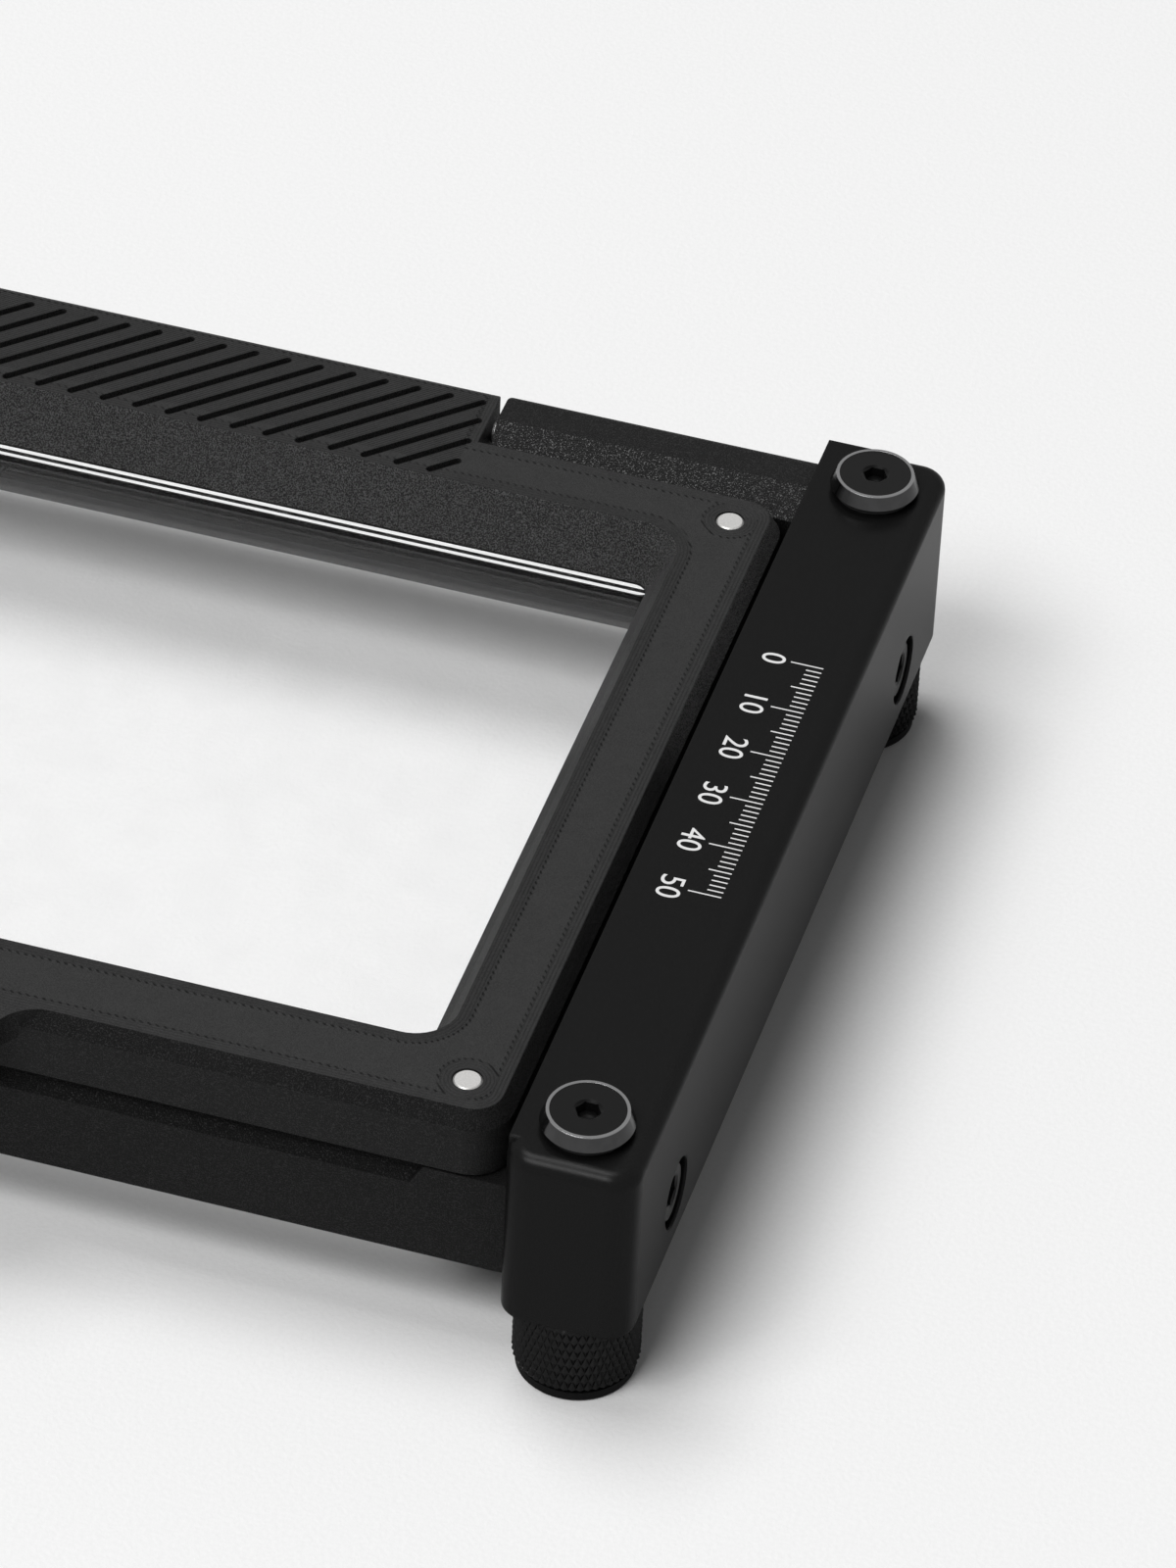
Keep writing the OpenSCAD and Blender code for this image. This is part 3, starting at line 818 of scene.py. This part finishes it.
@dataclass
class KnurledKnob:
    """A turned knob with a real diamond knurl, in place of the plain CAD one."""

    corner: str
    body: str
    around: int = 49
    rows: int = 7
    radius: float = 8.5
    depth: float = 0.28
    knurl_low: float = 2.35
    knurl_high: float = 12.3
    land: float = 0.14
    bevel: float = 0.45
    shoulder: tuple = (0.15, 0.35)
    foot_profile: tuple = ((1.56, 0.0), (1.56, 3.9))
    top_profile: tuple = ((3.2, 0.0), (2.6, -0.6), (2.56, -5.0))

    def centre(self) -> Vector:
        """The knob's axis at its foot, from the CAD node's box."""
        low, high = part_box(f"{self.corner}_knob")
        return Vector(((low.x + high.x) / 2, (low.y + high.y) / 2, low.z))

    def point(self, step: float, row: float, depth: float) -> Vector:
        """A point on the knurl.

        Args:
            step: Place round the knob, in half cells.
            row: Place up the knob, in half cells.
            depth: Depth below the knob's radius in millimetres.

        Returns:
            The point in millimetres, round the knob's own axis.
        """
        angle = math.pi * step / self.around
        r = self.radius - depth
        rise = (self.knurl_high - self.knurl_low) / self.rows
        return Vector((r * math.cos(angle), r * math.sin(angle), self.knurl_low + row * rise))

    def diamond(self, bm: bmesh.types.BMesh, step: int, row: int) -> None:
        """Adds one diamond with a small land on its top, halved at the knurl's ends.

        Args:
            bm: The mesh to fill.
            step: Middle of the diamond round the knob.
            row: Middle of the diamond up the knob.
        """
        ways = [(1, 0), (0, 1), (-1, 0), (0, -1)]
        last = self.rows
        for (ax, ay), (bx, by) in zip(ways, ways[1:] + ways[:1]):
            if not (0 <= row + ay <= last and 0 <= row + by <= last):
                continue
            corners = [self.point(step + ax, row + ay, self.depth),
                       self.point(step + bx, row + by, self.depth)]
            inner = [self.point(step + bx * self.land, row + by * self.land, 0.0),
                     self.point(step + ax * self.land, row + ay * self.land, 0.0)]
            middle = self.point(step, row, 0.0)
            bm.faces.new([bm.verts.new(co) for co in corners + inner])
            bm.faces.new([bm.verts.new(co) for co in [inner[1], inner[0], middle]])

    def edge_ring(self, row: int) -> list[Vector]:
        """The zigzag outline of the knurl's end, in order round the knob.

        Args:
            row: 0 for the foot, the number of rows for the top.

        Returns:
            The points in millimetres.
        """
        ring = []
        for step in range(2 * self.around):
            if (step + row) % 2:
                ring += [self.point(step - self.land, row, 0.0), self.point(step, row, 0.0),
                         self.point(step + self.land, row, 0.0)]
            else:
                ring.append(self.point(step, row, self.depth))
        return ring

    def shelf(self, bm: bmesh.types.BMesh, ring: list[Vector], profile: list[tuple]) -> None:
        """Turns a profile round the knob, starting from a ring.

        Args:
            bm: The mesh to fill.
            ring: The points that the first strip starts from.
            profile: Pairs of radius and height.
        """
        for r, z in profile:
            angles = [math.atan2(co.y, co.x) for co in ring]
            after = [Vector((r * math.cos(a), r * math.sin(a), z)) for a in angles]
            for k in range(len(ring)):
                j = (k + 1) % len(ring)
                bm.faces.new([bm.verts.new(co) for co in [ring[k], ring[j], after[j], after[k]]])
            ring = after

    def build(self) -> bpy.types.Object:
        """Builds the knob.

        Returns:
            The piece.
        """
        bm = bmesh.new()
        for row in range(self.rows + 1):
            for step in range(2 * self.around):
                if (step + row) % 2:
                    self.diamond(bm, step, row)
        low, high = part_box(f"{self.corner}_knob")
        foot, top = low.z / MM, high.z / MM
        root = self.radius - self.depth
        self.shelf(bm, self.edge_ring(0), [(root - self.bevel, foot)]
                   + [(r, foot + z) for r, z in self.foot_profile])
        self.shelf(bm, self.edge_ring(self.rows),
                   [(root - self.shoulder[0], top - self.shoulder[1]), (root - self.bevel, top)]
                   + [(r, top + z) for r, z in self.top_profile])
        centre = self.centre()
        for vert in bm.verts:
            vert.co = Vector((vert.co.x * MM + centre.x, vert.co.y * MM + centre.y, vert.co.z * MM))
        made = new_object(f"{self.corner}_knurled_knob", bm, "knob_anodised")
        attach(made, self.body)
        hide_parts(f"{self.corner}_knob")
        return made


@dataclass
class SocketCones:
    """The drilled dish at the bottom of every hexagon socket."""

    rim_r: float = 1.4
    floor_gap: float = 0.02
    dish: float = 0.5
    lip: float = 0.12
    inner_r_share: float = 0.5
    inner_dish_share: float = 0.45
    steps: int = 32
    socket_depth: float = 2.0
    side_socket_share: float = 1.3

    def cone(self, bm: bmesh.types.BMesh, place: Vector, axis: Vector, scale: float) -> None:
        """Adds one dish.

        Args:
            bm: The mesh to fill.
            place: Middle of the socket's floor in millimetres.
            axis: Unit vector out of the socket.
            scale: Size of the dish beside that of a foot screw.
        """
        turn = Vector((0.0, 0.0, 1.0)).rotation_difference(axis).to_matrix()
        rings = []
        for r, z in ((self.rim_r, self.lip), (self.rim_r, self.dish),
                     (self.rim_r * self.inner_r_share, self.dish * self.inner_dish_share)):
            angles = [math.tau * k / self.steps for k in range(self.steps)]
            points = [Vector((r * scale * math.cos(a), r * scale * math.sin(a),
                              z * scale + self.floor_gap)) for a in angles]
            rings.append([bm.verts.new((place + turn @ point) * MM) for point in points])
        low = bm.verts.new((place + axis * (self.lip * scale + self.floor_gap)) * MM)
        for k in range(self.steps):
            j = (k + 1) % self.steps
            for below, above in zip(rings, rings[1:]):
                bm.faces.new([below[k], below[j], above[j], above[k]])
            bm.faces.new([rings[-1][k], rings[-1][j], low])
        bm.faces.new(rings[0][::-1])

    def build(self) -> bpy.types.Object:
        """Builds the dishes.

        Returns:
            The piece.
        """
        bm = bmesh.new()
        up, side = Vector((0.0, 0.0, 1.0)), Vector((1.0, 0.0, 0.0))
        for corner in CORNERS:
            low, high = (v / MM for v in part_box(f"{corner}_foot_screw"))
            middle = (low + high) / 2
            self.cone(bm, Vector((middle.x, middle.y, high.z - self.socket_depth)), up, 1.0)
        for name, sign in (("right", 1.0), ("left", -1.0)):
            low, high = (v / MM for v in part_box(f"{name}_side_screws"))
            head = (high.z - low.z) / 2
            face = high.x if sign > 0 else low.x
            for y in (low.y + head, high.y - head):
                place = Vector((face - sign * self.socket_depth, y, (low.z + high.z) / 2))
                self.cone(bm, place, side * sign, self.side_socket_share)
        made = new_object("socket_cones", bm, "screw_black", smooth=True)
        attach(made, "holder")
        return made


@dataclass
class BarScale:
    """A plain printed scale with numbers on the top of the right end bar."""

    middle_x: float = 93.6
    start_y: float = 29.0
    step_mm: float = 1.0
    count: int = 50
    long_every: int = 10
    medium_every: int = 5
    line_w: float = 0.22
    thick: float = 0.02
    short: float = 2.2
    medium: float = 3.2
    long: float = 4.6
    tick_end: float = 5.0
    digit_offset: float = 2.2
    digit_size: float = 4.76

    def tick(self, bm: bmesh.types.BMesh, index: int, top: float) -> None:
        """Adds one tick.

        Args:
            bm: The mesh to fill.
            index: Number of the tick.
            top: Height of the bar's top in millimetres.
        """
        length = self.short
        if index % self.long_every == 0:
            length = self.long
        elif index % self.medium_every == 0:
            length = self.medium
        y = self.start_y - index * self.step_mm
        x1 = self.middle_x + self.tick_end
        x0 = x1 - length
        half = self.line_w / 2
        corners = [(x0, y - half), (x1, y - half), (x1, y + half), (x0, y + half)]
        low = [bm.verts.new(Vector((px, py, top)) * MM) for px, py in corners]
        high = [bm.verts.new(Vector((px, py, top + self.thick)) * MM) for px, py in corners]
        bm.faces.new(high)
        for k in range(4):
            bm.faces.new([low[k], low[(k + 1) % 4], high[(k + 1) % 4], high[k]])
        bm.faces.new(low[::-1])

    def digits(self, bm: bmesh.types.BMesh, index: int, top: float) -> None:
        """Adds the number at a long tick, its head to the bar's outer side.

        Args:
            bm: The mesh to fill.
            index: Number of the tick.
            top: Height of the bar's top in millimetres.
        """
        curve = bpy.data.curves.new("scale_digits", "FONT")
        curve.body = str(index)
        curve.size = self.digit_size * MM
        curve.extrude = self.thick * MM / 2
        curve.align_x = "CENTER"
        curve.align_y = "CENTER"
        word = bpy.data.objects.new("scale_digits", curve)
        bpy.context.scene.collection.objects.link(word)
        bpy.context.view_layer.update()
        graph = bpy.context.evaluated_depsgraph_get()
        mesh = bpy.data.meshes.new_from_object(word.evaluated_get(graph))
        place = Vector((self.middle_x - self.digit_offset, self.start_y - index * self.step_mm,
                        top + self.thick / 2)) * MM
        mesh.transform(Matrix.Translation(place) @ Matrix.Rotation(-math.pi / 2, 4, "Z"))
        bm.from_mesh(mesh)
        bpy.data.meshes.remove(mesh)
        bpy.data.objects.remove(word)
        bpy.data.curves.remove(curve)

    def build(self) -> bpy.types.Object:
        """Builds the scale.

        Returns:
            The piece.
        """
        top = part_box("right_end_bar")[1].z / MM
        bm = bmesh.new()
        for index in range(self.count + 1):
            self.tick(bm, index, top)
            if index % self.long_every == 0:
                self.digits(bm, index, top)
        made = new_object("bar_scale", bm, "print_white")
        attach(made, "holder")
        return made


# ---------------------------------------------------------------- studio

@dataclass
class Camera:
    """The photograph's camera.

    Its place is in metres, its angles are in degrees, and its lens and sensor in millimetres.
    """

    place: tuple = (0.29601, -0.82727, 0.76901)
    azimuth: float = 15.0215
    elevation: float = 40.5051
    roll: float = 2.844
    lens: float = 192.06
    sensor: float = 36.0
    clip: tuple = (0.01, 50.0)

    def build(self) -> bpy.types.Object:
        """Places the camera and makes it the scene's.

        Returns:
            The camera.
        """
        a, e, r = (math.radians(v) for v in (self.azimuth, self.elevation, self.roll))
        right = Vector((math.cos(a), math.sin(a), 0.0))
        back = Vector((math.sin(a) * math.cos(e), -math.cos(a) * math.cos(e), math.sin(e)))
        up = back.cross(right)
        turned_right = right * math.cos(r) + up * math.sin(r)
        turned_up = up * math.cos(r) - right * math.sin(r)
        data = bpy.data.cameras.new("camera")
        data.lens = self.lens
        data.sensor_width = self.sensor
        data.sensor_fit = "AUTO"
        data.clip_start, data.clip_end = self.clip
        made = bpy.data.objects.new("camera", data)
        axes = Matrix((turned_right, turned_up, back)).transposed()
        made.matrix_world = Matrix.Translation(self.place) @ axes.to_4x4()
        bpy.context.scene.collection.objects.link(made)
        bpy.context.scene.camera = made
        return made


@dataclass
class SoftBox:
    """One square area lamp that points at the holder.

    Its share is the part of a plain level that it gives a level surface at the holder.
    """

    name: str
    place: tuple
    size: float
    share: float
    aim: tuple = (0.0, 0.0, 0.02)

    def power(self) -> float:
        """The lamp's power in watts, from its share."""
        away = Vector(self.place) - Vector(self.aim)
        return self.share * math.pi ** 2 * away.length ** 3 / away.z

    def build(self) -> bpy.types.Object:
        """Places the lamp.

        Returns:
            The lamp.
        """
        data = bpy.data.lights.new(self.name, "AREA")
        data.shape = "SQUARE"
        data.size = self.size
        data.energy = self.power()
        made = bpy.data.objects.new(self.name, data)
        direction = Vector(self.aim) - Vector(self.place)
        made.rotation_euler = direction.to_track_quat("-Z", "Y").to_euler()
        made.location = self.place
        bpy.context.scene.collection.objects.link(made)
        return made


@dataclass
class Studio:
    """A pale floor, soft lamps and a plain world."""

    floor_half: float = 12.0
    floor_grey: float = 0.87
    world_grey: float = 0.14
    lamps: list = field(default_factory=lambda: [
        SoftBox("front_softbox", (-1.05, -3.3, 4.9), 2.3, 0.36),
        SoftBox("side_softbox", (-2.5, -2.6, 4.8), 1.6, 0.14),
        SoftBox("top_softbox", (-1.4, 0.8, 5.75), 2.7, 0.47),
    ])

    def floor(self) -> bpy.types.Object:
        """Builds the floor.

        Returns:
            The floor.
        """
        bm = bmesh.new()
        half = self.floor_half
        bm.faces.new([bm.verts.new((x, y, 0.0)) for x, y in
                      ((-half, -half), (half, -half), (half, half), (-half, half))])
        mesh = bpy.data.meshes.new("floor")
        bm.to_mesh(mesh)
        bm.free()
        made = bpy.data.objects.new("floor", mesh)
        bpy.context.scene.collection.objects.link(made)
        paper = FloorPaper("floor_paper", grey=self.floor_grey, gloss=Gloss.CHALKY, grain=0.012,
                           grain_per_mm=1.4, grain_depth=0.07, specular=0.15)
        mesh.materials.append(paper.material())
        return made

    def world(self) -> None:
        """Fills the world with a plain grey, white where it is seen."""
        world = bpy.data.worlds.new("studio")
        world.use_nodes = True
        bpy.context.scene.world = world
        net = Net(world.node_tree)
        strength = self.world_grey + net.seen() * (BACKDROP - self.world_grey)
        shader = net.add("ShaderNodeBackground", None, Color=WHITE, Strength=strength)
        net.add("ShaderNodeOutputWorld", None, Surface=shader.outputs[0])

    def build(self) -> None:
        """Builds floor, world and lamps."""
        self.floor()
        self.world()
        for lamp in self.lamps:
            lamp.build()


def main() -> None:
    """Builds the studio, dresses the frame and adds the finer pieces."""
    logging.basicConfig(level=logging.INFO, format="%(name)s: %(message)s")
    bpy.context.scene.view_settings.view_transform = "Standard"
    Camera().build()
    Studio().build()
    dress_nodes()
    for corner in CORNERS:
        LOG.info("built %s", KnurledKnob(corner, f"{corner}_grip").build().name)
    LOG.info("built %s", SocketCones().build().name)
    LOG.info("built %s", BarScale().build().name)


if __name__ == "__main__":
    main()
